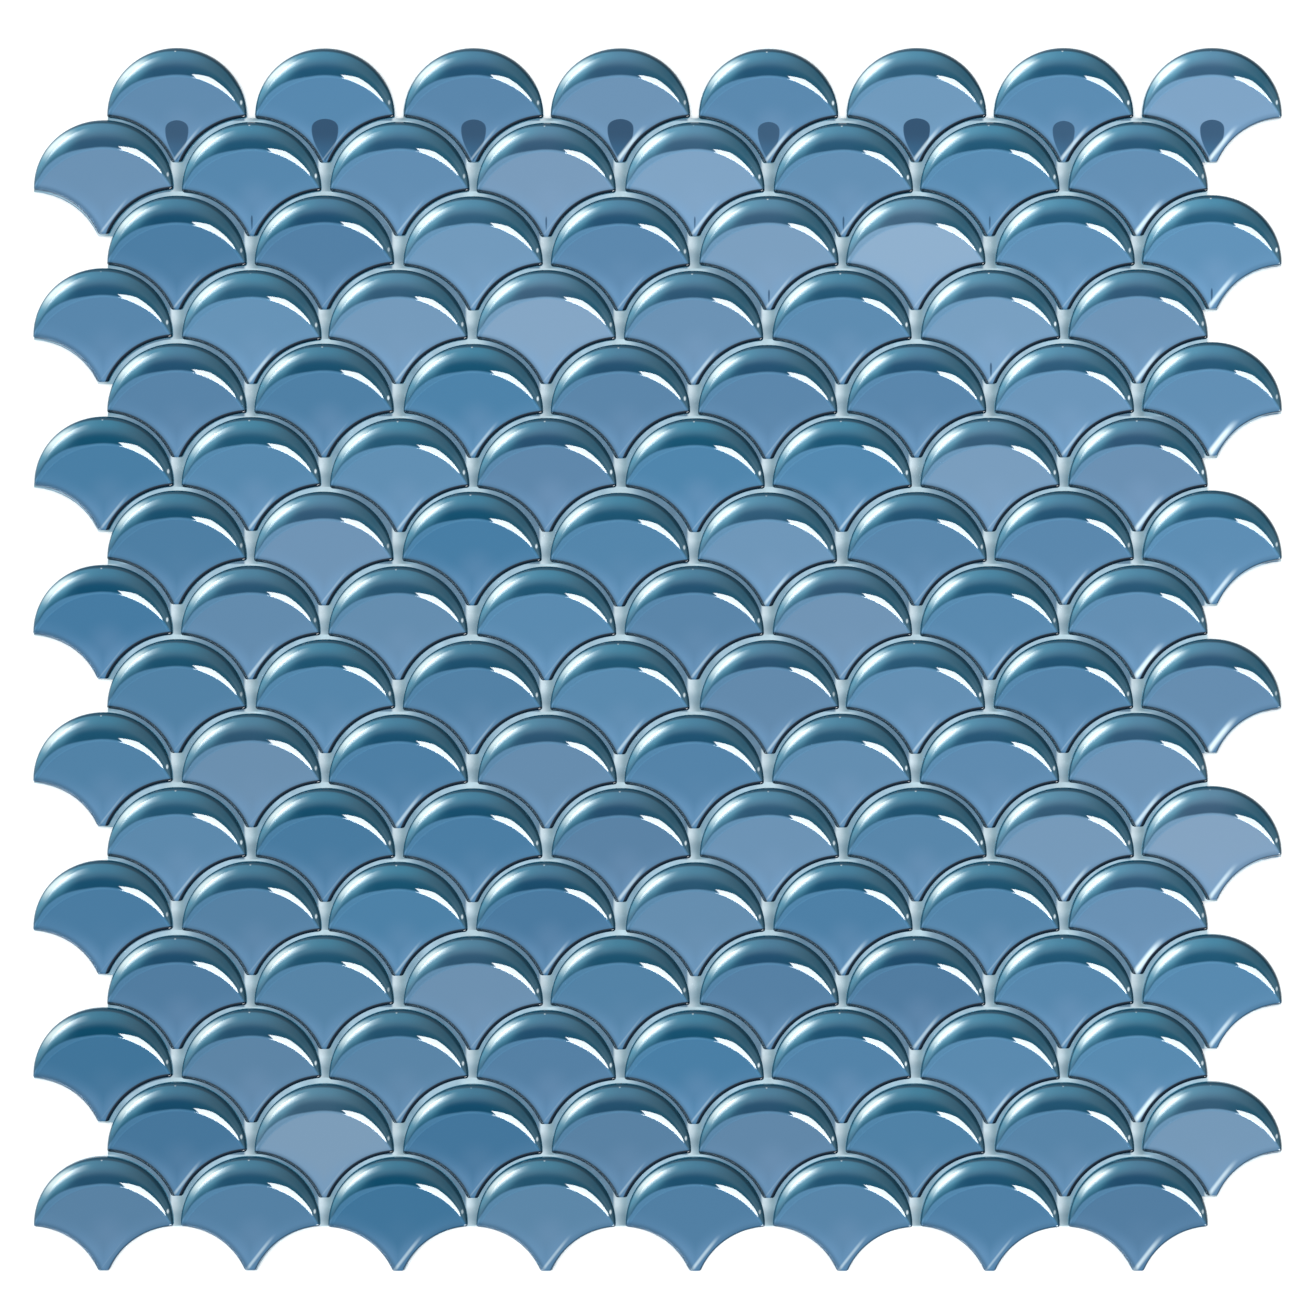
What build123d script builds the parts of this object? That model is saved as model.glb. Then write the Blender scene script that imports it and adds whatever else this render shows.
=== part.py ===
from build123d import *
import math
import os

# Fish-scale glass mosaic tile sheet, in millimetres.
# It lies face up on z = 0, its rows run along X, and the origin is under its middle.
# Row 1 is the top row (+Y). Odd rows sit half a pitch towards +X.

# Layout of the sheet
row_count = 16
scales_per_row = 8
pitch = 36.0  # from one scale to the next along a row
row_pitch = 18.0  # from one row to the next

# Outline of a scale. It is drawn with round arcs, and then made a little wider.
joint = 1.05  # from the round edge to the hollow edges of the scales above it
side_joint = 2.052  # between neighbours in a row, where they are widest
widening = 1.035
tip_drop = 11.35  # from the arc's centre down to the blunt tip
corner_round = 0.7  # seen from above, at the tip and at both corners

# Heights
backing_thickness = 0.8
glass_thickness = 4.5  # at the flat fan

# Ridge along the round top edge of a scale, measured where it is widest
ridge_inner_run = 3.5  # from the crease to the crest
ridge_outer_run = 3.5  # from the crest to the rim
crease_radius = 17.5  # of the crease, the curved foot line of the ridge seen from above
ridge_slope = 42.0  # degrees, where the ridge rises from the crease
ridge_crest_radius = 6.0
ridge_rim_drop = 1.7  # from the crest down to the rim
crest_slope = 8.0  # degrees, of both faces where they meet at the crest

# Rounding along the two hollow lower edges
edge_round = 0.6
edge_bulge = 0.15  # how far it stands out from a straight bevel

# How far the cutting shapes run past what they cut
overrun = 1.0

# Worked out from the sizes above. Places along X are those before the widening.
half_pitch = pitch / 2 / widening
arc_radius = (pitch - side_joint) / 2 / widening  # of the round top edge
hollow_radius = arc_radius + joint  # the lower edges run round the scales of the row below
tip_y = -tip_drop
tip_half_width = half_pitch - math.sqrt(hollow_radius**2 - (row_pitch - tip_drop) ** 2)
flat_z = backing_thickness + glass_thickness


def find_corner():
    """Right corner of a scale, where its round edge meets its hollow edge."""
    reach = math.hypot(half_pitch, row_pitch)
    along = (arc_radius**2 - hollow_radius**2 + reach**2) / (2 * reach)
    across = math.sqrt(arc_radius**2 - along**2)
    x = (along * half_pitch + across * row_pitch) / reach
    y = (across * half_pitch - along * row_pitch) / reach
    return x, y


corner_x, corner_y = find_corner()

# The crease passes the ridge's foot at the top and comes down close to both corners
crease_centre_y = arc_radius - ridge_outer_run - ridge_inner_run - crease_radius

# Slopes of the ridge's section, in radians
foot_angle = math.radians(ridge_slope)
crest_angle = math.radians(crest_slope)
rim_angle = 2 * math.atan(ridge_rim_drop / ridge_outer_run) - crest_angle

# The inner face is straight at its foot and rounded towards the crest
crest_round_run = ridge_crest_radius * (math.sin(foot_angle) - math.sin(crest_angle))
straight_run = ridge_inner_run - crest_round_run
straight_rise = straight_run * math.tan(foot_angle)
crest_round_rise = ridge_crest_radius * (math.cos(crest_angle) - math.cos(foot_angle))
crest_z = flat_z + straight_rise + crest_round_rise
rim_z = crest_z - ridge_rim_drop
outer_radius = ridge_outer_run / (math.sin(rim_angle) - math.sin(crest_angle))

# The sheet is centred on its own outline
middle_x = (scales_per_row - 0.5) * half_pitch
middle_y = ((row_count - 1) * row_pitch + arc_radius + tip_y) / 2


def centre(row, column):
    """Centre of the round edge of a scale. Rows count from 1, columns from 0."""
    shift = half_pitch if row % 2 else 0.0
    x = column * 2 * half_pitch + shift - middle_x
    y = (row_count - row) * row_pitch - middle_y
    return x, y


def widened(shape):
    """Makes a shape wider along X, so that its round arcs become slightly oval."""
    return scale(shape, by=(widening, 1, 1))


def arc_point(middle, radius, angle):
    """Point of a section's arc, at the place where the arc slopes by the angle."""
    return middle[0] + radius * math.sin(angle), middle[1] + radius * math.cos(angle)


def turned(section, axis_x=0.0, axis_y=0.0):
    """Solid of revolution round a vertical axis. The section is drawn as (radius, height).

    Its seam lies towards -Y, away from all the corners of a scale."""
    start = Rot(0, 0, -90) * (Plane.XZ * section)
    return Pos(axis_x, axis_y, 0) * revolve(start, Axis.Z)


def fan_outline():
    """Flat outline of a scale: a disc hollowed by the two scales of the row below."""
    hollow = Circle(hollow_radius)
    fan = Circle(arc_radius)
    fan -= Pos(half_pitch, -row_pitch) * hollow
    fan -= Pos(-half_pitch, -row_pitch) * hollow
    fan -= Pos(0, tip_y - arc_radius) * Rectangle(2 * arc_radius, 2 * arc_radius)
    return fillet(fan.vertices(), corner_round)


def outer_face_shape():
    """Everything under the outer face of the ridge, which falls from the crest to the rim."""
    middle = (
        arc_radius - ridge_outer_run - outer_radius * math.sin(crest_angle),
        crest_z - outer_radius * math.cos(crest_angle),
    )
    top = arc_point(middle, outer_radius, 0.0)
    halfway = arc_point(middle, outer_radius, rim_angle / 2)
    rim = arc_point(middle, outer_radius, rim_angle)
    past_rim = (rim[0] + overrun, rim[1] - overrun * math.tan(rim_angle))
    edges = Line((0, top[1]), top)
    edges += ThreePointArc(top, halfway, rim)
    edges += Polyline(rim, past_rim, (past_rim[0], -overrun), (0, -overrun), (0, top[1]))
    return turned(make_face(edges))


def inner_face_shape():
    """Everything above the flat fan and the inner face of the ridge."""
    foot = (crease_radius, flat_z)
    bend = (crease_radius + straight_run, flat_z + straight_rise)
    middle = (
        bend[0] + ridge_crest_radius * math.sin(foot_angle),
        bend[1] - ridge_crest_radius * math.cos(foot_angle),
    )
    halfway = arc_point(middle, ridge_crest_radius, -foot_angle / 2)
    top = arc_point(middle, ridge_crest_radius, 0.0)
    far = top[0] + pitch
    ceiling = top[1] + 2 * overrun
    edges = Polyline((0, flat_z), foot, bend)
    edges += ThreePointArc(bend, halfway, top)
    edges += Polyline(top, (far, top[1]), (far, ceiling), (0, ceiling), (0, flat_z))
    return turned(make_face(edges), axis_y=crease_centre_y)


def edge_cutter(side):
    """Rounds one hollow edge. Side is 1 for the right edge, -1 for the left."""
    low = (hollow_radius, flat_z - edge_round)
    high = (hollow_radius + edge_round, flat_z)
    bulge = edge_bulge / math.sqrt(2)
    halfway = ((low[0] + high[0]) / 2 - bulge, (low[1] + high[1]) / 2 + bulge)
    ceiling = flat_z + overrun
    inside = hollow_radius - overrun
    edges = ThreePointArc(low, halfway, high)
    edges += Polyline(high, (high[0] + overrun, ceiling), (inside, ceiling), (inside, low[1]), low)
    return turned(make_face(edges), side * half_pitch, -row_pitch)


def glass_scale():
    """One moulded scale, with the centre of its round edge on the Z axis."""
    height = crest_z - backing_thickness + overrun
    glass = Pos(0, 0, backing_thickness) * extrude(fan_outline(), height)
    glass &= outer_face_shape()
    glass -= inner_face_shape()
    glass -= edge_cutter(1)
    glass -= edge_cutter(-1)
    return glass.solid()


def moved(point, middle):
    """A point given from a scale's centre, in the sheet's own place."""
    return middle[0] + point[0], middle[1] + point[1]


def round_arc(middle, start, end):
    """Arc of the round edge of the scale at middle, clockwise from start to end."""
    start_turn = math.atan2(start[0] - middle[0], start[1] - middle[1])
    end_turn = math.atan2(end[0] - middle[0], end[1] - middle[1])
    between = (start_turn + end_turn) / 2
    bulge = (math.sin(between) * arc_radius, math.cos(between) * arc_radius)
    return ThreePointArc(start, moved(bulge, middle), end)


def hollow_arc(middle, side):
    """Hollow lower edge of the scale at middle, from its corner to its blunt tip."""
    corner = (side * corner_x, corner_y)
    tip = (side * tip_half_width, tip_y)
    hollow_middle = (side * half_pitch, -row_pitch)
    towards = (
        (corner[0] + tip[0]) / 2 - hollow_middle[0],
        (corner[1] + tip[1]) / 2 - hollow_middle[1],
    )
    stretch = hollow_radius / math.hypot(*towards)
    bulge = (
        hollow_middle[0] + towards[0] * stretch,
        hollow_middle[1] + towards[1] * stretch,
    )
    return ThreePointArc(moved(corner, middle), moved(bulge, middle), moved(tip, middle))


def side_edges(side):
    """The stepped left or right side of the backing, flush with the outer scales."""
    column = scales_per_row - 1 if side > 0 else 0
    proud_rows = [row for row in range(1, row_count + 1) if (row % 2 == 1) == (side > 0)]
    edges = []
    for row in proud_rows:
        middle = centre(row, column)
        corner = moved((side * corner_x, corner_y), middle)
        if row > 1:
            # straight down from the corner of the set-back scale above to this round edge
            above = centre(row - 1, column)
            set_back = moved((side * corner_x, corner_y), above)
            across = set_back[0] - middle[0]
            landing = (set_back[0], middle[1] + math.sqrt(arc_radius**2 - across**2))
            edges.append(Line(set_back, landing))
            ends = (landing, corner) if side > 0 else (corner, landing)
            edges.append(round_arc(middle, *ends))
        if row < row_count:
            # down the hollow edge, level from the tip to the set-back scale, round to its corner
            below = centre(row + 1, column)
            tip = moved((side * tip_half_width, tip_y), middle)
            rise = tip[1] - below[1]
            landing = (below[0] + side * math.sqrt(arc_radius**2 - rise**2), tip[1])
            below_corner = moved((side * corner_x, corner_y), below)
            edges.append(hollow_arc(middle, side))
            edges.append(Line(tip, landing))
            ends = (landing, below_corner) if side > 0 else (below_corner, landing)
            edges.append(round_arc(below, *ends))
    return edges


def top_edges():
    """The scalloped top side, with a short level web between neighbouring scales."""
    edges = []
    for column in range(scales_per_row):
        middle = centre(1, column)
        left = moved((-corner_x, corner_y), middle)
        right = moved((corner_x, corner_y), middle)
        if column > 0:
            previous = moved((corner_x, corner_y), centre(1, column - 1))
            edges.append(Line(previous, left))
        edges.append(round_arc(middle, left, right))
    return edges


def bottom_edges():
    """The bottom side, which runs from tip to tip round the places of a row below."""
    last = row_count
    edges = [hollow_arc(centre(last, 0), -1), hollow_arc(centre(last, scales_per_row - 1), 1)]
    for column in range(scales_per_row):
        middle = centre(last, column)
        left = moved((-tip_half_width, tip_y), middle)
        right = moved((tip_half_width, tip_y), middle)
        edges.append(Line(left, right))
        if column < scales_per_row - 1:
            summit = moved((half_pitch, hollow_radius - row_pitch), middle)
            next_left = moved((-tip_half_width, tip_y), centre(last, column + 1))
            edges.append(ThreePointArc(right, summit, next_left))
    return edges


def backing():
    """Thin sheet under all the scales. It shows in the joints.

    Its outline is widened before it gets its thickness, so that both its faces are true planes."""
    edges = top_edges() + bottom_edges() + side_edges(1) + side_edges(-1)
    outline = make_face(widened(Wire.combine(edges)[0]))
    return extrude(outline, backing_thickness).solid()


def write_node(shape, name):
    shape.label = name
    export_step(shape, f"parts/{name}.step")


os.makedirs("parts", exist_ok=True)

one_scale = widened(glass_scale())
for row in range(1, row_count + 1):
    places = [centre(row, column) for column in range(scales_per_row)]
    solids = [Pos(widening * x, y) * one_scale for x, y in places]
    write_node(Compound(children=solids), f"scale_row_{row:02d}")
write_node(backing(), "backing_sheet")
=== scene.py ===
import bpy
import math
import random
from mathutils import Matrix, Vector


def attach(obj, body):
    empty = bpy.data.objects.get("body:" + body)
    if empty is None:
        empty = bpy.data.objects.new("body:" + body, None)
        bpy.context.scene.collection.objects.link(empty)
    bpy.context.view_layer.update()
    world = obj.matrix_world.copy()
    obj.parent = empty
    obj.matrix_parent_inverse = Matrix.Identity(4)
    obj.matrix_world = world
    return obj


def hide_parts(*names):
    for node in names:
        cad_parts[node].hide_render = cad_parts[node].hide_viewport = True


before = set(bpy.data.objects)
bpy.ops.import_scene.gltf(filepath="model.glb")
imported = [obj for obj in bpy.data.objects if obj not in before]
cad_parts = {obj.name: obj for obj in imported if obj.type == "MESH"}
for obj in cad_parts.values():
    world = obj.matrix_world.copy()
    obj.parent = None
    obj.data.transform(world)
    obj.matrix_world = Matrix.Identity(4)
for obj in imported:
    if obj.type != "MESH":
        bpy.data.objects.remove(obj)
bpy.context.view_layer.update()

# Fish-scale glass mosaic tile sheet. Sizes of a scale are in millimetres, as it is moulded.
# A scale's own place is the centre of its round edge, with +Y towards that edge.
MM = 0.001
ROWS = 16
SCALES_PER_ROW = 8
PITCH = 36.0
ROW_PITCH = 18.0
ARC_RADIUS = 16.4
JOINT = 1.05
WIDENING = 1.035
TIP_DROP = 11.35
CORNER_ROUND = 0.7
BACKING_THICKNESS = 0.8
GLASS_THICKNESS = 4.5
RIDGE_INNER_RUN = 3.5
RIDGE_OUTER_RUN = 3.5
CREASE_RADIUS = 17.5
RIDGE_SLOPE = math.radians(42.0)
RIDGE_CREST_RADIUS = 6.0
RIDGE_RIM_DROP = 1.7
CREST_SLOPE = math.radians(8.0)
EDGE_ROUND = 0.6

# Small roundings of the moulded glass
RIM_ROUND = 0.45
CREST_BLEND = 0.25
CREASE_BLEND = 0.28

# Fineness of a scale's mesh
HALF_STEPS = 28
FILLET_STEPS = 3
FLAT_STEPS = 4
CREASE_STEPS = 4
RIDGE_STEPS = 12
INSETS = (0.0, 0.03, 0.09, 0.18, 0.3, 0.44, 0.6)
LEAST_FILLET = 0.02
LEAST_CREASE_SHARE = 0.12
CREASE_TRIES = 40

# How much one scale differs from the next
SEED = 5087
LARGEST_TURN = math.radians(0.45)
LARGEST_SIDE_SHIFT = 0.26
LARGEST_ROW_SHIFT = 0.14
LEAST_INWARD_SHIFT = 0.01  # of an outermost scale, so that it stays inside when turned
ROW_BOW = 0.45
BOW_DOWN = 0.4  # share of the bow by which the middle of a row goes down
# Painted light: each scale's colour gets lighter towards the top right of the sheet
EAST_PAINTED_LIGHT = 0.12  # gained from the left side of the sheet to the right
NORTH_PAINTED_LIGHT = 0.18  # gained from the bottom of the sheet to the top
LARGEST_LIGHTNESS = 0.04
# A whitish veil on each scale: a random share, and a painted reflection that grows towards the top
# right of the sheet
LEAST_WHITE = 0.006
EAST_PAINTED_VEIL = 0.022
NORTH_PAINTED_VEIL = 0.024
WHITE_SPREAD = 0.016
LARGE_DROP_SPREAD = 0.07
SMALL_DROP = 0.42
SMALL_DROP_SPREAD = 0.08
SMALL_DROP_LOSS = 0.3  # share of the scales that lose it with each row down

# Places along X are those before the widening, except in the layout of the sheet
HALF_PITCH = PITCH / 2 / WIDENING
HOLLOW_RADIUS = ARC_RADIUS + JOINT
FLAT_Z = BACKING_THICKNESS + GLASS_THICKNESS
MIDDLE_X = (SCALES_PER_ROW - 0.5) * PITCH / 2
MIDDLE_Y = ((ROWS - 1) * ROW_PITCH + ARC_RADIUS - TIP_DROP) / 2

# Camera: straight above, a little off the middle of the sheet, as the photograph is framed
SENSOR = 36.0
CAMERA_HEIGHT = 3.0
FRAME_WIDTH = 0.3193
CAMERA_X = -0.00038
CAMERA_Y = 0.00084

# What the glass mirrors, in degrees clockwise from +Y and up from the floor
SOFT_BOX_AZIMUTH = -42
SOFT_BOX_LIGHT = 18.5
WINDOW_CORNERS = [(193.5, 22.0), (198.0, 3.0), (234.0, 3.0), (230.0, 15.0), (207.0, 35.0)]
WINDOW_LIGHT = 21.5
WINDOW_BLUR = 0.012

# How far the soft box reaches to either side, in radians, and the heights in the sky (from 0
# to 1) between which its foot comes up and its top fades
SOFT_BOX_REACH = 0.5
SOFT_BOX_FOOT = (0.52, 0.60)
SOFT_BOX_TOP = (0.985, 0.55)

# Where the mirrored room and the even light are brightest
ROOM_MIDDLE = (-0.30, 0.42, 0.60)
EVEN_LIGHT_SIDE = (-0.7, 0.3, 0.6)
EVEN_LIGHT = (0.75, 1.75)

# Painted reflections, glints and highlight on the glass, in a scale's own place
DROP_HEIGHT = 10.6
DROP_HALF_WIDTH = 3.3
DROP_WIDEST = 0.76  # share of its height
STREAK_MIDDLE = (1.3, -8.3)
STREAK_SLANT = 0.76  # to the right for each millimetre up
CORNER_GLINT = (15.15, 3.1)
TOP_GLINT = (-0.4, 15.6)
PATCH_TURN = math.radians(45.0)  # to the left of the top
PATCH_DEPTH = 1.04  # inside the rim

# Where the glass turns dark, past the crease
DARK_START = 0.42
LATER_ON_LEFT = 0.85
SOONER_IN_CORNER = 0.4

# Heights between which the wall's dark top starts, and between which it fades to its pale foot
WALL_START = (FLAT_Z - 0.7, FLAT_Z - 0.9)
WALL_FADE = (4.4, 1.2)

# Soft limits of the joints round a scale: the upright ones lie beyond its sides and under its
# shoulders, and all of them end a little below its centre
UPRIGHT_SIDE = (16.0, 16.7)
UPRIGHT_TOP = (8.0, 7.6)
JOINT_FOOT = (-1.4, -1.0)

GLASS_IOR = 1.5
GLASS_ROUGHNESS = (0.012, 0.03)
PRESSED_ROUGHNESS = 0.5  # on top of that, in the pressed edges that face left

FLOOR_REACH = 3.0

rng = random.Random(SEED)


def meeting_point(round_radius, hollow_radius):
    """Where a circle round a scale's centre meets one round the next scale, right below."""
    reach = math.hypot(HALF_PITCH, ROW_PITCH)
    along = (round_radius**2 - hollow_radius**2 + reach**2) / (2 * reach)
    across = math.sqrt(round_radius**2 - along**2)
    x = (along * HALF_PITCH + across * ROW_PITCH) / reach
    y = (across * HALF_PITCH - along * ROW_PITCH) / reach
    return x, y


CREASE_CENTRE_Y = ARC_RADIUS - RIDGE_OUTER_RUN - RIDGE_INNER_RUN - CREASE_RADIUS

# Section of the ridge: how its two faces rise and fall
STRAIGHT_RUN = RIDGE_INNER_RUN - RIDGE_CREST_RADIUS * (
    math.sin(RIDGE_SLOPE) - math.sin(CREST_SLOPE)
)
STRAIGHT_RISE = STRAIGHT_RUN * math.tan(RIDGE_SLOPE)
CREST_RISE = STRAIGHT_RISE + RIDGE_CREST_RADIUS * (
    math.cos(CREST_SLOPE) - math.cos(RIDGE_SLOPE)
)
RIM_SLOPE = 2 * math.atan(RIDGE_RIM_DROP / RIDGE_OUTER_RUN) - CREST_SLOPE
OUTER_RADIUS = RIDGE_OUTER_RUN / (math.sin(RIM_SLOPE) - math.sin(CREST_SLOPE))


def inner_rise(run):
    """Height of the ridge's inner face over the flat, at a distance past the crease."""
    if run <= -CREASE_BLEND:
        return 0.0
    if run <= CREASE_BLEND:
        return (run + CREASE_BLEND) ** 2 / (4 * CREASE_BLEND) * math.tan(RIDGE_SLOPE)
    if run <= STRAIGHT_RUN:
        return run * math.tan(RIDGE_SLOPE)
    sine = max(0.0, math.sin(RIDGE_SLOPE) - (run - STRAIGHT_RUN) / RIDGE_CREST_RADIUS)
    return STRAIGHT_RISE + RIDGE_CREST_RADIUS * (
        math.sqrt(1 - sine**2) - math.cos(RIDGE_SLOPE)
    )


def outer_rise(radius):
    """Height of the ridge's outer face over the flat, at a distance from the arc's centre."""
    run = radius - (ARC_RADIUS - RIDGE_OUTER_RUN)
    sine = max(0.0, math.sin(CREST_SLOPE) + run / OUTER_RADIUS)
    return CREST_RISE - OUTER_RADIUS * (math.cos(CREST_SLOPE) - math.sqrt(1 - sine**2))


def smooth_lower(a, b, blend):
    """The lower of two heights, with the edge between them rounded."""
    mix = max(blend - abs(a - b), 0.0) / blend
    return min(a, b) - mix * mix * blend / 4


def edge_drop(distance, round_radius):
    """How far a rounded edge has fallen at a distance inside of it."""
    if distance >= round_radius:
        return 0.0
    run = round_radius - max(distance, 0.0)
    return round_radius - math.sqrt(max(round_radius**2 - run**2, 0.0))


def glass_height(x, y, edge_distance):
    """Height of the glass over the resting plane at a point of the scale."""
    radius = math.hypot(x, y)
    past_crease = math.hypot(x, y - CREASE_CENTRE_Y) - CREASE_RADIUS
    ridge = smooth_lower(inner_rise(past_crease), outer_rise(radius), CREST_BLEND)
    drop = max(edge_drop(edge_distance, EDGE_ROUND), edge_drop(ARC_RADIUS - radius, RIM_ROUND))
    return FLAT_Z + ridge - drop


def face_normal(x, y):
    """Direction that the moulded face looks in, on the widened scale."""
    step = 0.01
    east = glass_height(x + step, y, EDGE_ROUND) - glass_height(x - step, y, EDGE_ROUND)
    north = glass_height(x, y + step, EDGE_ROUND) - glass_height(x, y - step, EDGE_ROUND)
    return Vector((-east / WIDENING, -north, 2 * step)).normalized()


def arc(middle, radius, start, end, steps):
    """Points of an arc after its start, up to its end. Turns are clockwise from +Y."""
    made = []
    for step in range(1, steps + 1):
        turn = start + (end - start) * step / steps
        made.append((middle[0] + radius * math.sin(turn), middle[1] + radius * math.cos(turn)))
    return made


def turn_to(point, middle):
    return math.atan2(point[0] - middle[0], point[1] - middle[1])


def half_outline(inset):
    """Right half of the outline, drawn in by inset: the round edge and the hollow edge.

    Both lists start on the scale's own axis and end at the same point of the corner."""
    fillet = max(CORNER_ROUND - inset, LEAST_FILLET)
    round_radius = ARC_RADIUS - inset
    hollow_radius = HOLLOW_RADIUS + inset
    below = (HALF_PITCH, -ROW_PITCH)
    corner = meeting_point(round_radius - fillet, hollow_radius + fillet)
    tip_y = inset - TIP_DROP + fillet
    tip = (HALF_PITCH - math.sqrt((hollow_radius + fillet) ** 2 - (tip_y + ROW_PITCH) ** 2), tip_y)

    round_end = turn_to(corner, (0.0, 0.0))
    hollow_start = turn_to(tip, below)
    hollow_end = turn_to(corner, below)
    corner_low = hollow_end + math.pi
    corner_middle = (round_end + corner_low) / 2
    tip_side = hollow_start + math.pi

    arc_steps = HALF_STEPS - FILLET_STEPS
    top = [(0.0, round_radius)]
    top += arc((0.0, 0.0), round_radius, 0.0, round_end, arc_steps)
    top += arc(corner, fillet, round_end, corner_middle, FILLET_STEPS)

    hollow_steps = HALF_STEPS - 2 * FILLET_STEPS - 1
    low = [(0.0, inset - TIP_DROP), (tip[0], inset - TIP_DROP)]
    low += arc(tip, fillet, math.pi, tip_side, FILLET_STEPS)
    low += arc(below, hollow_radius, hollow_start, hollow_end, hollow_steps)
    low += arc(corner, fillet, corner_low, corner_middle, FILLET_STEPS)
    return top, low


def ring(inset):
    """The whole outline, drawn in by inset, as two lists of points from left to right."""
    top, low = half_outline(inset)
    whole_top = [(-x, y) for x, y in reversed(top[1:])] + top
    whole_low = [(-x, y) for x, y in reversed(low[1:])] + low
    return whole_top, whole_low


def column_shares(start, end):
    """Where the points of one column lie between the hollow and the round edge, from 0 to 1."""
    length = math.dist(start, end)
    share_of_crease = 0.5
    for _ in range(CREASE_TRIES):
        x = start[0] + (end[0] - start[0]) * share_of_crease
        y = start[1] + (end[1] - start[1]) * share_of_crease
        gap = math.hypot(x, y - CREASE_CENTRE_Y) - CREASE_RADIUS
        share_of_crease -= gap / max(length, 1.0)
    crease = min(max(share_of_crease, LEAST_CREASE_SHARE), 1 - LEAST_CREASE_SHARE)
    half_width = min(CREASE_BLEND / length, crease / 2, (1 - crease) / 2)
    foot = crease - half_width
    rise = crease + half_width
    shares = [foot * step / FLAT_STEPS for step in range(1, FLAT_STEPS)]
    shares += [foot + (rise - foot) * step / CREASE_STEPS for step in range(CREASE_STEPS)]
    shares += [rise + (1 - rise) * step / RIDGE_STEPS for step in range(RIDGE_STEPS)]
    return shares


class Shape:
    """Points and faces of one scale, in its own place."""

    def __init__(self):
        self.points = []
        self.faces = []
        # normals that are known from the form itself, by the index of their point
        self.normals = {}

    def add(self, x, y, z):
        self.points.append((x, y, z))
        return len(self.points) - 1

    def add_inner(self, x, y):
        """A point of the moulded face, inside the rounded edge."""
        index = self.add(x, y, glass_height(x, y, EDGE_ROUND))
        self.normals[index] = face_normal(x, y)
        return index

    def strip(self, one, other):
        """Faces between two rows of points. Neighbours that are the same point are left out."""
        for k in range(len(one) - 1):
            face = []
            for index in (one[k], one[k + 1], other[k + 1], other[k]):
                if index not in face:
                    face.append(index)
            if len(face) > 2:
                self.faces.append(tuple(face))


def add_ring(shape, inset, height=None):
    """Adds one ring of points and returns its two lists of indices, sharing both corners."""
    whole_top, whole_low = ring(inset)

    def place(x, y, distance):
        z = glass_height(x, y, distance) if height is None else height
        return shape.add(x, y, z)

    top = []
    for x, y in whole_top:
        beyond = min(
            math.hypot(x - HALF_PITCH, y + ROW_PITCH),
            math.hypot(x + HALF_PITCH, y + ROW_PITCH),
        )
        top.append(place(x, y, max(beyond - HOLLOW_RADIUS, inset)))
    low = [top[0]] + [place(x, y, inset) for x, y in whole_low[1:-1]] + [top[-1]]
    return top, low


def make_scale():
    """The mesh of one scale. All the scales are copies of it."""
    shape = Shape()
    foot_top, foot_low = add_ring(shape, 0.0, BACKING_THICKNESS)
    rings = [add_ring(shape, inset) for inset in INSETS]

    shape.strip(foot_low, foot_top)
    shape.strip(rings[0][0], foot_top)
    shape.strip(foot_low, rings[0][1])
    for outer, inner in zip(rings, rings[1:]):
        shape.strip(inner[0], outer[0])
        shape.strip(outer[1], inner[1])

    inner_top, inner_low = rings[-1]
    columns = []
    for low, top in zip(inner_low, inner_top):
        if low == top:
            columns.append([low] * (FLAT_STEPS + CREASE_STEPS + RIDGE_STEPS + 1))
            continue
        start, end = shape.points[low], shape.points[top]
        between = []
        for share in column_shares(start[:2], end[:2]):
            x = start[0] + (end[0] - start[0]) * share
            y = start[1] + (end[1] - start[1]) * share
            between.append(shape.add_inner(x, y))
        columns.append([low] + between + [top])
    for left, right in zip(columns, columns[1:]):
        shape.strip(right, left)
    return shape


def centre(row, column):
    """Centre of the round edge of a scale. Rows count from 1, columns from 0."""
    shift = PITCH / 2 if row % 2 else 0.0
    x = column * PITCH + shift - MIDDLE_X
    y = (ROWS - row) * ROW_PITCH - MIDDLE_Y
    return x, y


def inward(value, place, count):
    """Keeps the shift of a scale at either end of its row or column towards the middle."""
    if place == 0:
        return max(value, LEAST_INWARD_SHIFT)
    if place == count - 1:
        return min(value, -LEAST_INWARD_SHIFT)
    return value


def place_scale(row, column):
    """Where one scale lies, and its small turn, as hand-set glass has. The rows bow a little."""
    x, y = centre(row, column)
    side_shift = rng.uniform(-LARGEST_SIDE_SHIFT, LARGEST_SIDE_SHIFT)
    bow = ROW_BOW * ((x / MIDDLE_X) ** 2 - BOW_DOWN)
    row_shift = bow + rng.uniform(-LARGEST_ROW_SHIFT, LARGEST_ROW_SHIFT)
    x += inward(side_shift, column, SCALES_PER_ROW)
    y -= inward(-row_shift, row - 1, ROWS)
    return x, y, rng.uniform(-LARGEST_TURN, LARGEST_TURN)


def scale_tints(row, column):
    """How one scale differs in colour: its hue, its lightness and how much whitish veil is on it.

    Lightness and veil are partly random and partly painted light: the sheet gets lighter
    and whiter towards its top right, as a painted reflection."""
    east = column / (SCALES_PER_ROW - 1) - 0.5
    north = 0.5 - (row - 1) / (ROWS - 1)
    lightness = 1.0 + EAST_PAINTED_LIGHT * east + NORTH_PAINTED_LIGHT * north
    lightness += rng.uniform(-LARGEST_LIGHTNESS, LARGEST_LIGHTNESS)
    white = LEAST_WHITE + EAST_PAINTED_VEIL * east + NORTH_PAINTED_VEIL * north
    white += rng.gammavariate(2.0, WHITE_SPREAD)
    return rng.random(), lightness, max(white, 0.0)


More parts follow.
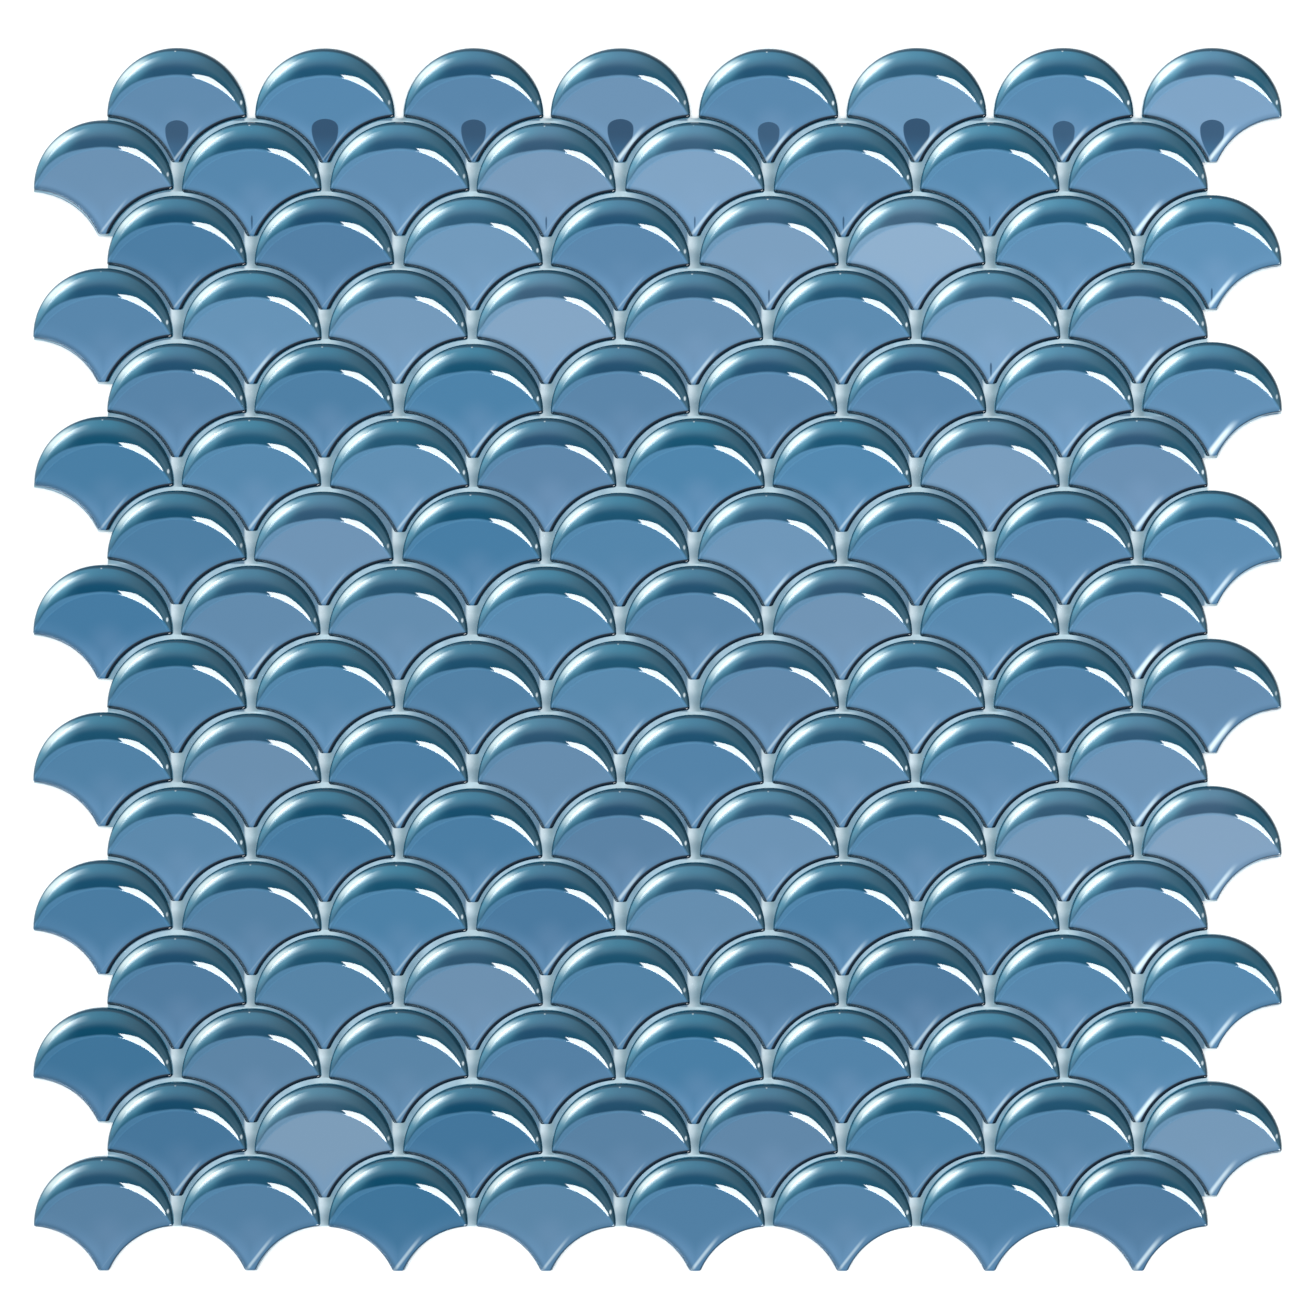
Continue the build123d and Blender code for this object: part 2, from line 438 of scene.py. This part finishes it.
def scale_reflections(row, column):
    """Painted reflections of what a scale mirrors near its tip: the size of a dark drop, and of
    a pale streak.

    The drop is large in the top row, and small in some scales of the three rows under it."""
    east = column / (SCALES_PER_ROW - 1)
    chance = rng.random()
    if row == 1:
        drop = 1.0 - LARGE_DROP_SPREAD * chance
    elif chance > SMALL_DROP_LOSS * (row - 1):
        drop = SMALL_DROP + SMALL_DROP_SPREAD * chance
    else:
        drop = 0.0
    streak = 0.45 * rng.random() ** 3 + 0.12 * east
    if row == 1 or column == SCALES_PER_ROW - 1:
        streak += 0.5 * east
    return drop, streak, chance


def open_edges(row, column):
    """Whether the left and right hollow edges lie on the outline of the sheet, as 0 or 1."""
    last = row == ROWS
    open_left = last or (row % 2 == 0 and column == 0)
    open_right = last or (row % 2 == 1 and column == SCALES_PER_ROW - 1)
    return float(open_left), float(open_right), 0.0


def make_row(row, scale, material):
    """One row of scales as a single mesh, in place of its solids."""
    points, faces, known_normals = [], [], []
    attributes = {"place": [], "tint": [], "painted_reflection": [], "open": []}
    for column in range(SCALES_PER_ROW):
        x, y, turn = place_scale(row, column)
        tint = scale_tints(row, column)
        painted_reflection = scale_reflections(row, column)
        open_sides = open_edges(row, column)
        first = len(points)
        for px, py, pz in scale.points:
            wide = px * WIDENING
            across = wide * math.cos(turn) - py * math.sin(turn)
            along = wide * math.sin(turn) + py * math.cos(turn)
            points.append(((x + across) * MM, (y + along) * MM, pz * MM))
            attributes["place"].extend((px, py, pz))
            attributes["tint"].extend(tint)
            attributes["painted_reflection"].extend(painted_reflection)
            attributes["open"].extend(open_sides)
        faces += [tuple(index + first for index in face) for face in scale.faces]
        turned = Matrix.Rotation(turn, 3, "Z")
        known_normals += [(index + first, turned @ n) for index, n in scale.normals.items()]
    mesh = bpy.data.meshes.new(f"glass_row_{row:02d}")
    mesh.from_pydata(points, [], faces)
    for name, values in attributes.items():
        mesh.attributes.new(name, "FLOAT_VECTOR", "POINT").data.foreach_set("vector", values)
    mesh.shade_smooth()
    normals = [normal.vector.copy() for normal in mesh.vertex_normals]
    for index, normal in known_normals:
        normals[index] = normal
    mesh.normals_split_custom_set_from_vertices(normals)
    mesh.materials.append(material)
    piece = bpy.data.objects.new(f"glass_row_{row:02d}", mesh)
    # glass lets the soft light through to the joints
    piece.visible_diffuse = False
    bpy.context.collection.objects.link(piece)
    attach(piece, "root")
    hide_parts(f"scale_row_{row:02d}")


class Recipe:
    """Builds the nodes of one material or of the world, a step at a time."""

    def __init__(self, owner):
        owner.use_nodes = True
        self.owner = owner
        self.tree = owner.node_tree

    def feed(self, value, name):
        """Feeds one socket of the material's shader."""
        self.join(value, self.tree.nodes["Principled BSDF"].inputs[name])

    def node(self, kind, **settings):
        made = self.tree.nodes.new(kind)
        for name, value in settings.items():
            setattr(made, name, value)
        return made

    def join(self, value, socket):
        """Feeds a socket from another socket, or sets it to a plain value."""
        if isinstance(value, bpy.types.NodeSocket):
            self.tree.links.new(value, socket)
        else:
            socket.default_value = value

    def attribute(self, name):
        return self.node("ShaderNodeAttribute", attribute_name=name).outputs["Vector"]

    def parts(self, vector):
        made = self.node("ShaderNodeSeparateXYZ")
        self.join(vector, made.inputs[0])
        return made.outputs[0], made.outputs[1], made.outputs[2]

    def maths(self, operation, first, second=0.0):
        made = self.node("ShaderNodeMath", operation=operation)
        self.join(first, made.inputs[0])
        self.join(second, made.inputs[1])
        return made.outputs[0]

    def distance(self, x, y, middle_x, middle_y):
        """Distance from a point of the scale to a fixed one, seen from above."""
        across = self.minus(x, middle_x)
        along = self.minus(y, middle_y)
        return self.maths("SQRT", self.plus(self.times(across, across), self.times(along, along)))

    def folded(self, value, origin, period, reach):
        """Distance past the last of a row of equal places, from -reach on."""
        start = self.plus(self.minus(value, origin), reach)
        return self.minus(self.maths("FLOORED_MODULO", start, period), reach)

    def rise(self, value, low, high):
        """0 at low and 1 at high, with a smooth run between. Low may be above high."""
        made = self.node("ShaderNodeMapRange", interpolation_type="SMOOTHSTEP")
        self.join(value, made.inputs["Value"])
        self.join(low, made.inputs["From Min"])
        self.join(high, made.inputs["From Max"])
        return made.outputs["Result"]

    def scaled(self, value, low, high):
        """Maps a value from 0 to 1 onto low to high."""
        made = self.node("ShaderNodeMapRange")
        self.join(value, made.inputs["Value"])
        self.join(low, made.inputs["To Min"])
        self.join(high, made.inputs["To Max"])
        return made.outputs["Result"]

    def mix(self, share, first, second, blend="MIX"):
        """Mixes two colours, which are sockets 6 and 7 of a mix node."""
        made = self.node("ShaderNodeMix", data_type="RGBA", blend_type=blend)
        self.join(share, made.inputs[0])
        self.join(first, made.inputs[6])
        self.join(second, made.inputs[7])
        return made.outputs[2]

    def mix_values(self, share, first, second):
        """Mixes two plain values, which are sockets 2 and 3 of a mix node."""
        made = self.node("ShaderNodeMix")
        self.join(share, made.inputs[0])
        self.join(first, made.inputs[2])
        self.join(second, made.inputs[3])
        return made.outputs[0]

    def dot(self, vector, direction):
        made = self.node("ShaderNodeVectorMath", operation="DOT_PRODUCT")
        self.join(vector, made.inputs[0])
        self.join(direction, made.inputs[1])
        return made.outputs["Value"]

    def plus(self, first, second):
        return self.maths("ADD", first, second)

    def minus(self, first, second):
        return self.maths("SUBTRACT", first, second)

    def times(self, first, second):
        return self.maths("MULTIPLY", first, second)

    def size_of(self, value):
        return self.maths("ABSOLUTE", value)

    def grey(self, value):
        made = self.node("ShaderNodeCombineXYZ")
        for socket in made.inputs:
            self.join(value, socket)
        return made.outputs[0]

    def noise(self, vector, scale, detail=2.0):
        made = self.node("ShaderNodeTexNoise")
        self.join(vector, made.inputs["Vector"])
        self.join(scale, made.inputs["Scale"])
        self.join(detail, made.inputs["Detail"])
        return made.outputs["Fac"]

    def bump(self, height, strength, distance):
        made = self.node("ShaderNodeBump")
        self.join(strength, made.inputs["Strength"])
        self.join(distance, made.inputs["Distance"])
        self.join(height, made.inputs["Height"])
        return made.outputs["Normal"]


def colour(red, green, blue):
    return (red, green, blue, 1.0)


# Colours of the glass. Hues are the ends of a random mix, and of two tones the first is the
# lower, left or inner one.
FLAT_HUES = colour(0.012, 0.118, 0.237), colour(0.028, 0.115, 0.226)
# Painted light on the flat: a sheen by the hollow edges, a reflected cloud and a highlight line at
# the crease
FLAT_EDGE_SHEEN = colour(0.12, 0.25, 0.42)
FLAT_CLOUD_REFLECTION = colour(0.16, 0.26, 0.42)
CREASE_HIGHLIGHT = colour(0.17, 0.36, 0.55)
# Painted reflections near the tip: a dark drop and a pale streak
MIRRORED_DROP_TONES = colour(0.010, 0.070, 0.150), colour(0.003, 0.038, 0.090)
MIRRORED_STREAK_TONE = colour(0.62, 0.74, 0.80)
DEEP_HUES = colour(0.003, 0.064, 0.122), colour(0.010, 0.056, 0.116)
# Painted light makes the ridge lighter on its left, and painted shade duller and greyer on its
# right
DEEP_LIT_LEFT = colour(0.016, 0.085, 0.150)
OUTER_HUES = colour(0.012, 0.130, 0.212), colour(0.028, 0.118, 0.200)
OUTER_LIT_MIDDLE = colour(0.040, 0.168, 0.255)
OUTER_LIT_LEFT = colour(0.060, 0.205, 0.295)
SHADED_RIGHT_TONES = colour(0.008, 0.062, 0.102), colour(0.014, 0.066, 0.106)
SHADED_RIGHT_CORNER = colour(0.038, 0.094, 0.135)
GLINT_TONE = colour(0.62, 0.70, 0.74)
# Painted highlight at the upper left of the ridge
HIGHLIGHT_PATCH_TONE = colour(0.56, 0.66, 0.67)
# Dark rim and hollow edges: partly the glass's dark edge and partly painted shade, darker and
# wider on the right
RIM_SHADE_TONES = colour(0.006, 0.050, 0.088), colour(0.006, 0.030, 0.050)
EDGE_SHADE = colour(0.020, 0.072, 0.135)
HOLLOW_SHADE_TONES = colour(0.004, 0.026, 0.048), colour(0.002, 0.009, 0.020)
WALL_TOP = colour(0.02, 0.10, 0.17)
WALL_FOOT = colour(0.09, 0.26, 0.36)

# Painted light and shade of the joints, round the scales and upright between neighbours
ROUND_LIGHT_AND_SHADE = colour(0.26, 0.385, 0.475), colour(0.075, 0.15, 0.225)
ROUND_SHADED_CORNER = colour(0.15, 0.26, 0.34)
ROUND_LIT_TOP = colour(0.355, 0.47, 0.53)
UPRIGHT_LIGHT_AND_SHADE = colour(0.43, 0.51, 0.56), colour(0.17, 0.265, 0.315)
UPRIGHT_LOW_SHADE = colour(0.57, 0.66, 0.71)

FLOOR_MOTTLE = colour(0.91, 0.91, 0.91), colour(0.93, 0.93, 0.93)
ROOM_TINT = colour(0.95, 0.99, 1.0)


class ScalePlace:
    """Where a point of the glass lies on its scale, and how that scale differs, as sockets.

    Places and distances are in millimetres. Only side is a share of the scale's half width."""

    def __init__(self, recipe):
        self.vector = recipe.attribute("place")
        self.x, self.y, self.z = recipe.parts(self.vector)
        self.hue, self.lightness, self.white = recipe.parts(recipe.attribute("tint"))
        self.drop, self.streak, self.chance = recipe.parts(recipe.attribute("painted_reflection"))
        self.open_left, self.open_right, _ = recipe.parts(recipe.attribute("open"))
        # from -1 at the left corner to 1 at the right one
        self.side = recipe.maths("DIVIDE", self.x, ARC_RADIUS)
        # distances inside the round edge, past the crease, and inside the hollow edges
        self.rim = recipe.minus(ARC_RADIUS, recipe.distance(self.x, self.y, 0.0, 0.0))
        crease_gap = recipe.distance(self.x, self.y, 0.0, CREASE_CENTRE_Y)
        self.crease = recipe.minus(crease_gap, CREASE_RADIUS)
        right_gap = recipe.distance(self.x, self.y, HALF_PITCH, -ROW_PITCH)
        left_gap = recipe.distance(self.x, self.y, -HALF_PITCH, -ROW_PITCH)
        self.edge = recipe.minus(recipe.maths("MINIMUM", right_gap, left_gap), HOLLOW_RADIUS)
        # where the dark of the ridge starts, past the crease
        left_shift = recipe.times(recipe.rise(self.side, -0.15, -0.7), LATER_ON_LEFT)
        corner_shift = recipe.times(recipe.rise(self.side, -0.8, -0.95), SOONER_IN_CORNER)
        self.dark_start = recipe.minus(recipe.plus(left_shift, DARK_START), corner_shift)


def flat_colour(recipe, at):
    """The flat fan, with painted light: a sheen by its hollow edges, a highlight line at the
    crease and a soft reflected cloud.
    """
    flat = recipe.mix(at.hue, *FLAT_HUES)
    # whitish veil: partly random, partly a painted reflection
    flat = recipe.mix(1.0, flat, recipe.grey(at.white), "ADD")
    # painted sheen by the hollow edges, stronger towards the tip
    toward_tip = recipe.scaled(recipe.rise(at.y, 1.0, -8.0), 0.1, 0.45)
    pale = recipe.times(recipe.rise(at.edge, 5.0, 1.0), toward_tip)
    flat = recipe.mix(pale, flat, FLAT_EDGE_SHEEN)
    # painted reflection of a soft cloud
    cloud = recipe.rise(recipe.distance(at.x, at.y, 1.0, -2.5), 6.5, 0.0)
    cloud = recipe.times(cloud, recipe.scaled(at.chance, 0.0, 0.22))
    flat = recipe.mix(cloud, flat, FLAT_CLOUD_REFLECTION)
    # painted highlight along the crease, stronger on the left
    crease_sheen = recipe.scaled(recipe.rise(at.side, 0.5, -0.1), 0.12, 0.31)
    crease_sheen = recipe.times(crease_sheen, recipe.rise(at.crease, -0.3, 0.05))
    return recipe.mix(crease_sheen, flat, CREASE_HIGHLIGHT)


def tip_reflections(recipe, at, flat):
    """Painted reflections near the tip: a dark drop, and a pale streak on its right."""
    above_tip = recipe.plus(at.y, TIP_DROP)
    height = recipe.maths("DIVIDE", above_tip, recipe.times(at.drop, DROP_HEIGHT))
    below = recipe.maths("MINIMUM", recipe.maths("MAXIMUM", height, 0.0), DROP_WIDEST)
    taper = recipe.maths("SINE", recipe.times(below, math.pi / 2 / DROP_WIDEST))
    past = recipe.maths("MAXIMUM", recipe.minus(height, DROP_WIDEST), 0.0)
    past = recipe.times(past, 1 / (1 - DROP_WIDEST))
    left_over = recipe.minus(1.0, recipe.maths("POWER", past, 2.6))
    cap = recipe.maths("SQRT", recipe.maths("MAXIMUM", left_over, 0.0))
    widest = recipe.times(recipe.maths("POWER", at.drop, 3.0), DROP_HALF_WIDTH)
    half_width = recipe.times(recipe.times(taper, cap), widest)
    inside = recipe.rise(recipe.minus(half_width, recipe.size_of(at.x)), 0.02, 0.3)
    inside = recipe.times(inside, recipe.scaled(at.chance, 1.0, 0.85))
    flat = recipe.mix(inside, flat, recipe.mix(recipe.rise(height, 0.1, 0.7), *MIRRORED_DROP_TONES))

    # the painted reflected streak runs from the tip along the hollow edge that faces right
    above_middle = recipe.minus(at.y, STREAK_MIDDLE[1])
    middle = recipe.plus(recipe.times(above_middle, STREAK_SLANT), STREAK_MIDDLE[0])
    across = recipe.size_of(recipe.minus(at.x, middle))
    reach = recipe.scaled(at.streak, 0.25, 1.4)
    streak = recipe.rise(across, reach, recipe.times(reach, 0.1))
    streak = recipe.times(streak, recipe.rise(at.y, -2.0, -6.5))
    streak = recipe.times(streak, recipe.scaled(at.streak, 0.05, 1.1))
    return recipe.mix(streak, flat, MIRRORED_STREAK_TONE)


def ridge_colour(recipe, at):
    """The ridge: deep by the crease and lighter outside, partly as thicker glass and partly as
    painted shade and reflection; painted light makes it lighter on the left, and painted shade
    duller on the right.
    """
    # painted light on the left of the ridge
    lit_far_left = recipe.rise(at.side, -0.28, -0.62)
    deep = recipe.mix(lit_far_left, recipe.mix(at.hue, *DEEP_HUES), DEEP_LIT_LEFT)
    outer = recipe.mix(at.hue, *OUTER_HUES)
    outer = recipe.mix(recipe.rise(at.side, 0.05, -0.4), outer, OUTER_LIT_MIDDLE)
    outer = recipe.mix(lit_far_left, outer, OUTER_LIT_LEFT)
    start = recipe.scaled(lit_far_left, 2.1, 0.8)
    end = recipe.scaled(lit_far_left, 5.3, 3.1)
    ridge = recipe.mix(recipe.rise(at.crease, start, end), deep, outer)
    # a share of the whitish veil, partly a painted reflection
    ridge = recipe.mix(1.0, ridge, recipe.grey(recipe.times(at.white, 0.25)), "ADD")
    # painted shade: the right of the ridge is duller, and greyer by its corner
    shaded_right = recipe.mix(recipe.rise(at.crease, 2.5, 5.0), *SHADED_RIGHT_TONES)
    ridge = recipe.mix(recipe.rise(at.side, 0.0, 0.65), ridge, shaded_right)
    ridge = recipe.mix(recipe.rise(at.side, 0.70, 0.92), ridge, SHADED_RIGHT_CORNER)
    return painted_highlight_patch(recipe, at, glints(recipe, at, ridge))


def glints(recipe, at, ridge):
    """Tiny bright spots at the right corner, twice as long as wide, and at some scales' top."""
    half_y = recipe.times(at.y, 0.5)
    corner_gap = recipe.distance(at.x, half_y, CORNER_GLINT[0], CORNER_GLINT[1] / 2)
    corner = recipe.times(recipe.rise(corner_gap, 0.38, 0.12), recipe.scaled(at.chance, 0.4, 1.0))
    top_gap = recipe.distance(at.x, at.y, *TOP_GLINT)
    top = recipe.times(recipe.rise(top_gap, 0.32, 0.1), recipe.rise(at.chance, 0.4, 0.7))
    return recipe.mix(recipe.maths("MAXIMUM", corner, top), ridge, GLINT_TONE)


def painted_highlight_patch(recipe, at, ridge):
    """A painted highlight at the upper left, where the steep side of the ridge catches the light.
    """
    from_middle = recipe.plus(recipe.maths("ARCTAN2", at.x, at.y), PATCH_TURN)
    middle = recipe.plus(recipe.times(from_middle, 0.95), PATCH_DEPTH)
    across = recipe.size_of(recipe.minus(at.rim, middle))
    patch = recipe.rise(across, 1.1, 0.2)
    patch = recipe.times(patch, recipe.rise(recipe.size_of(from_middle), 0.40, 0.08))
    return recipe.mix(patch, ridge, HIGHLIGHT_PATCH_TONE)


def painted_edge_shade(recipe, at, body):
    """Dark borders of the glass, partly its dark edge and partly painted shade: the rim's is thin
    on the left and wide on the right, away from the light, and the hollow edges' are thin on
    the outline of the sheet."""
    rim_width = recipe.scaled(recipe.rise(at.side, -0.72, 0.05), 0.25, 0.86)
    rim_width = recipe.times(rim_width, recipe.scaled(recipe.rise(at.side, 0.78, 0.98), 1.0, 0.5))
    rim = recipe.rise(at.rim, recipe.plus(rim_width, 0.25), recipe.minus(rim_width, 0.2))
    body = recipe.mix(rim, body, recipe.mix(recipe.rise(at.side, -0.3, 0.6), *RIM_SHADE_TONES))

    faces_right = recipe.rise(at.side, -0.06, 0.06)
    shade = recipe.times(recipe.rise(at.edge, 1.7, 0.4), recipe.scaled(faces_right, 0.65, 0.35))
    body = recipe.mix(shade, body, EDGE_SHADE)
    width = recipe.scaled(faces_right, 0.72, 0.82)
    on_outline = recipe.plus(
        recipe.times(at.open_right, faces_right),
        recipe.times(at.open_left, recipe.minus(1.0, faces_right)),
    )
    width = recipe.times(width, recipe.scaled(on_outline, 1.0, 0.35))
    hollow = recipe.rise(at.edge, recipe.plus(width, 0.15), recipe.minus(width, 0.15))
    hollow = recipe.times(hollow, recipe.scaled(on_outline, 1.0, 0.7))
    return recipe.mix(hollow, body, recipe.mix(faces_right, *HOLLOW_SHADE_TONES))


def glass_material():
    """Blue moulded glass, coloured from below: pale on the flat and deep in the ridge, with
    painted light, shade and reflections laid over that colour.
    """
    recipe = Recipe(bpy.data.materials.new("blue_glass"))
    at = ScalePlace(recipe)
    flat = tip_reflections(recipe, at, flat_colour(recipe, at))
    past_start = recipe.minus(at.crease, at.dark_start)
    body = recipe.mix(recipe.rise(past_start, -0.25, 0.25), flat, ridge_colour(recipe, at))
    # random lightness, with the painted light that grows towards the sheet's top right
    body = recipe.mix(1.0, body, recipe.grey(at.lightness), "MULTIPLY")
    body = painted_edge_shade(recipe, at, body)

    # the walls, deep under the edge and paler at the foot
    wall = recipe.mix(recipe.rise(at.z, *WALL_FADE), WALL_TOP, WALL_FOOT)
    body = recipe.mix(recipe.rise(at.z, *WALL_START), body, wall)
    recipe.feed(body, "Base Color")

    # clear glass, duller in the pressed edges that face left
    cloud = recipe.scaled(recipe.noise(at.vector, 0.25, 3.0), *GLASS_ROUGHNESS)
    faces_left = recipe.times(recipe.rise(at.side, 0.0, -0.04), recipe.rise(at.edge, 0.75, 0.5))
    recipe.feed(recipe.plus(cloud, recipe.times(faces_left, PRESSED_ROUGHNESS)), "Roughness")
    recipe.feed(GLASS_IOR, "IOR")
    return recipe.owner


def joint_light_and_shade(recipe, x, y, row):
    """Painted light and shade in the joints round the scales of every other row, and where
    they are.
    """
    first_x, first_y = centre(row, 0)
    across = recipe.folded(x, first_x, PITCH, PITCH / 2)
    along = recipe.folded(y, first_y, 2 * ROW_PITCH, 2.0)
    between_neighbours = recipe.folded(x, first_x + PITCH / 2, PITCH, PITCH / 2)
    narrow = recipe.times(across, 1 / WIDENING)
    radius = recipe.distance(narrow, along, 0.0, 0.0)

    # round the scale, painted light and shade: pale blue on its left, pale on top and darker on
    # its right
    round_tone = recipe.mix(recipe.rise(across, -3.0, 10.0), *ROUND_LIGHT_AND_SHADE)
    round_tone = recipe.mix(recipe.rise(across, -11.0, -15.0), round_tone, ROUND_SHADED_CORNER)
    top = recipe.rise(recipe.size_of(across), 4.5, 0.5)
    round_tone = recipe.mix(top, round_tone, ROUND_LIT_TOP)

    # between neighbours, painted light and shade: pale on the left, grey-green on the right,
    # dimmer low down
    upright = recipe.mix(recipe.rise(between_neighbours, -1.3, 1.3), *UPRIGHT_LIGHT_AND_SHADE)
    dim = recipe.rise(recipe.size_of(recipe.minus(along, 1.5)), 3.3, 0.3)
    upright = recipe.mix(dim, upright, UPRIGHT_LOW_SHADE, "MULTIPLY")
    is_upright = recipe.rise(recipe.size_of(across), *UPRIGHT_SIDE)
    is_upright = recipe.times(is_upright, recipe.rise(along, *UPRIGHT_TOP))
    is_round = recipe.rise(radius, HOLLOW_RADIUS + 0.25, HOLLOW_RADIUS + 0.05)
    is_here = recipe.maths("MAXIMUM", is_upright, is_round)
    is_here = recipe.times(is_here, recipe.rise(along, *JOINT_FOOT))
    return recipe.mix(is_upright, round_tone, upright), is_here


def backing_material():
    """Pale film under the glass, with painted light and shade in the joints, as light through
    the glass would leave it.
    """
    recipe = Recipe(bpy.data.materials.new("pale_backing"))
    place = recipe.node("ShaderNodeTexCoord").outputs["Object"]
    x, y, _ = recipe.parts(place)
    x = recipe.times(x, 1 / MM)
    y = recipe.times(y, 1 / MM)
    odd_tone, in_odd = joint_light_and_shade(recipe, x, y, 1)
    even_tone, _ = joint_light_and_shade(recipe, x, y, 2)
    tone = recipe.mix(in_odd, even_tone, odd_tone)
    mottle = recipe.noise(place, 350.0, 4.0)
    tone = recipe.mix(1.0, tone, recipe.grey(recipe.scaled(mottle, 0.75, 1.25)), "MULTIPLY")
    recipe.feed(tone, "Base Color")
    recipe.feed(recipe.scaled(mottle, 0.35, 0.6), "Roughness")
    recipe.feed(recipe.bump(mottle, 0.25, 0.0004), "Normal")
    return recipe.owner


def floor_material():
    recipe = Recipe(bpy.data.materials.new("white_floor"))
    place = recipe.node("ShaderNodeTexCoord").outputs["Object"]
    mottle = recipe.noise(place, 3.0)
    recipe.feed(recipe.mix(mottle, *FLOOR_MOTTLE), "Base Color")
    recipe.feed(0.9, "Roughness")
    recipe.feed(0.1, "Specular IOR Level")
    return recipe.owner


def make_floor():
    mesh = bpy.data.meshes.new("floor")
    signs = [(-1, -1), (1, -1), (1, 1), (-1, 1)]
    corners = [(x * FLOOR_REACH, y * FLOOR_REACH, 0) for x, y in signs]
    mesh.from_pydata(corners, [], [(0, 1, 2, 3)])
    mesh.materials.append(floor_material())
    floor = bpy.data.objects.new("floor", mesh)
    bpy.context.collection.objects.link(floor)


def toward(azimuth, elevation=0.0):
    """Direction of a place in the sky, in degrees clockwise from +Y and up from the floor."""
    turn = math.radians(azimuth)
    up = math.radians(elevation)
    return Vector((math.sin(turn) * math.cos(up), math.cos(turn) * math.cos(up), math.sin(up)))


def window_light(recipe, way, corners, soft):
    """1 inside a window in the sky with straight sides.

    Its corners are given counterclockwise, as seen from the sheet."""
    light = 1.0
    for start, end in zip(corners, corners[1:] + corners[:1]):
        inward_side = toward(*end).cross(toward(*start)).normalized()
        light = recipe.times(light, recipe.rise(recipe.dot(way, inward_side), -soft, soft))
    return light


def make_world():
    """An even pale room for the diffuse light and the camera, and a darker one with a soft box
    and a window for what the glass mirrors."""
    recipe = Recipe(bpy.data.worlds.new("studio"))
    recipe.owner.cycles.sampling_method = "NONE"
    bpy.context.scene.world = recipe.owner
    way = recipe.node("ShaderNodeTexCoord").outputs["Generated"]
    up = recipe.parts(way)[2]
    room = recipe.rise(recipe.dot(way, ROOM_MIDDLE), 0.02, 0.78)

    # soft box at the upper left, high enough for the flats not to mirror it from a low view
    sideways = recipe.dot(way, toward(SOFT_BOX_AZIMUTH + 90))
    forward = recipe.dot(way, toward(SOFT_BOX_AZIMUTH))
    off = recipe.size_of(recipe.maths("ARCTAN2", sideways, forward))
    soft_box = recipe.times(recipe.rise(off, SOFT_BOX_REACH, 0.0), recipe.rise(up, *SOFT_BOX_TOP))
    soft_box = recipe.times(soft_box, recipe.rise(up, *SOFT_BOX_FOOT))
    soft_box = recipe.times(soft_box, SOFT_BOX_LIGHT)

    # crisp window at the lower left
    window = window_light(recipe, way, WINDOW_CORNERS, WINDOW_BLUR)
    window = recipe.times(window, WINDOW_LIGHT)

    mirrored = recipe.plus(recipe.plus(room, soft_box), window)
    even = recipe.rise(recipe.dot(way, EVEN_LIGHT_SIDE), -1.0, 1.0)
    even = recipe.scaled(even, *EVEN_LIGHT)
    rays = recipe.node("ShaderNodeLightPath").outputs
    sees_even = recipe.plus(rays["Is Diffuse Ray"], rays["Is Camera Ray"])
    background = recipe.tree.nodes["Background"]
    background.inputs["Color"].default_value = ROOM_TINT
    strength = recipe.mix_values(sees_even, mirrored, even)
    recipe.join(strength, background.inputs["Strength"])


def make_camera():
    lens = bpy.data.cameras.new("camera")
    lens.sensor_width = SENSOR
    lens.lens = SENSOR * (CAMERA_HEIGHT - FLAT_Z * MM) / FRAME_WIDTH
    lens.clip_start = 0.05
    lens.clip_end = 20.0
    camera = bpy.data.objects.new("camera", lens)
    camera.location = (CAMERA_X, CAMERA_Y, CAMERA_HEIGHT)
    bpy.context.collection.objects.link(camera)
    bpy.context.scene.camera = camera


make_camera()
make_world()
make_floor()
glass = glass_material()
scale = make_scale()
for row in range(1, ROWS + 1):
    make_row(row, scale, glass)
film = backing_material()
for material_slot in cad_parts["backing_sheet"].material_slots:
    material_slot.material = film

bpy.context.scene.view_settings.view_transform = "Standard"
